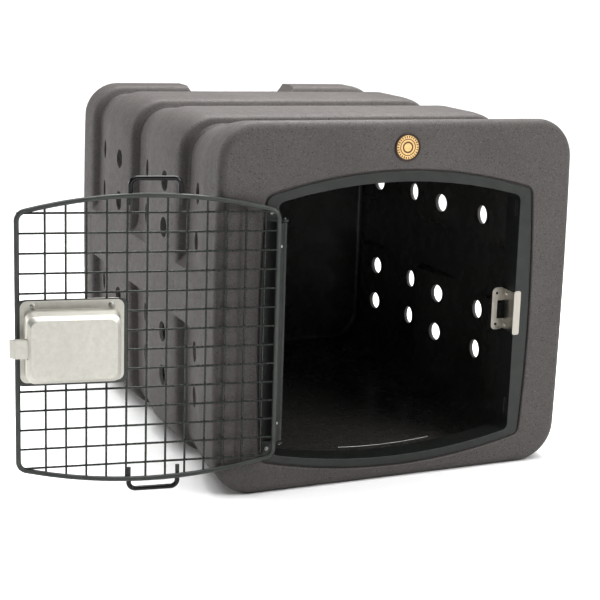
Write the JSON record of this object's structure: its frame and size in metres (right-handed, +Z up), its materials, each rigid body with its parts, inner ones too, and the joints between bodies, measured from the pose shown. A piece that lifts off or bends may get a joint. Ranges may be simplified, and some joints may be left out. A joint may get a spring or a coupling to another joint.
{
  "type": "dog kennel",
  "caption": "Moulded plastic dog kennel with ribbed, vented walls and a latching wire mesh door that swings on a side hinge.",
  "frame": {"origin": "on the floor, under the middle of the moulded shell's width and depth", "axes": "+X to the right seen from the front, +Y from the door to the back wall, +Z up"},
  "size_m": [0.7994, 0.7339, 0.505],
  "materials": {
    "moulded_plastic": "moulded, lightly textured, speckled",
    "frame_paint": "satin powder coat",
    "galvanised_wire": "dull plated wire",
    "stainless": "satin stainless",
    "zinc_steel": "dull zinc",
    "sleeve_plastic": "glossy black sleeve",
    "badge_gold": "satin gold",
    "badge_dark": "dark enamel",
    "trim_aluminium": "plain strip",
    "backing_paint": "satin powder coat"
  },
  "bodies": {
    "kennel": {"kennel_shell": "moulded_plastic", "door_frame": "frame_paint", "sill_trim": "trim_aluminium", "badge_disc": "badge_gold", "badge_bezel": "badge_dark", "hinge_bracket_top": "frame_paint", "hinge_bracket_bottom": "frame_paint", "hinge_bracket_rivets": "zinc_steel", "hinge_pin": "zinc_steel", "strike_plate": "stainless", "strike_rivets": "stainless"},
    "door": {"door_rod_frame": "frame_paint", "vertical_wires": "galvanised_wire", "horizontal_wires": "galvanised_wire", "hinge_strip": "frame_paint", "hinge_strip_rivets": "zinc_steel", "top_loop_rod": "frame_paint", "top_loop_sleeve": "sleeve_plastic", "bottom_loop_rod": "frame_paint", "bottom_loop_sleeve": "sleeve_plastic", "latch_backing_plate": "backing_paint", "latch_cover": "stainless", "latch_cover_screws": "zinc_steel", "latch_case": "zinc_steel", "paddle_dish": "stainless", "paddle_pin": "zinc_steel", "paddle_spring": "zinc_steel"},
    "paddle": {"paddle_handle": "stainless"},
    "bolt": {"latch_bolt": "stainless"}
  },
  "joints": [
    {"name": "door_hinge", "type": "hinge", "parent": "kennel", "child": "door", "pos_m": [-0.1775, -0.3625, 0.225], "axis": [0, 0, 1], "range_deg": [0, 188.8]},
    {"name": "paddle_pull", "type": "hinge", "parent": "door", "child": "paddle", "pos_m": [-0.48059, -0.32671, 0.226], "axis": [0, 0, 1], "range_deg": [0, 26], "stiffness_Nm_per_rad": 0.3, "springref_deg": -17.19},
    {"name": "bolt_slide", "type": "slide", "parent": "door", "child": "bolt", "axis": [0.9882, -0.153, 0], "range_m": [0, 0.0135]}
  ],
  "couplings": [
    {"joint": "bolt_slide", "follows": "paddle_pull", "m_per_rad": 0.0297}
  ]
}
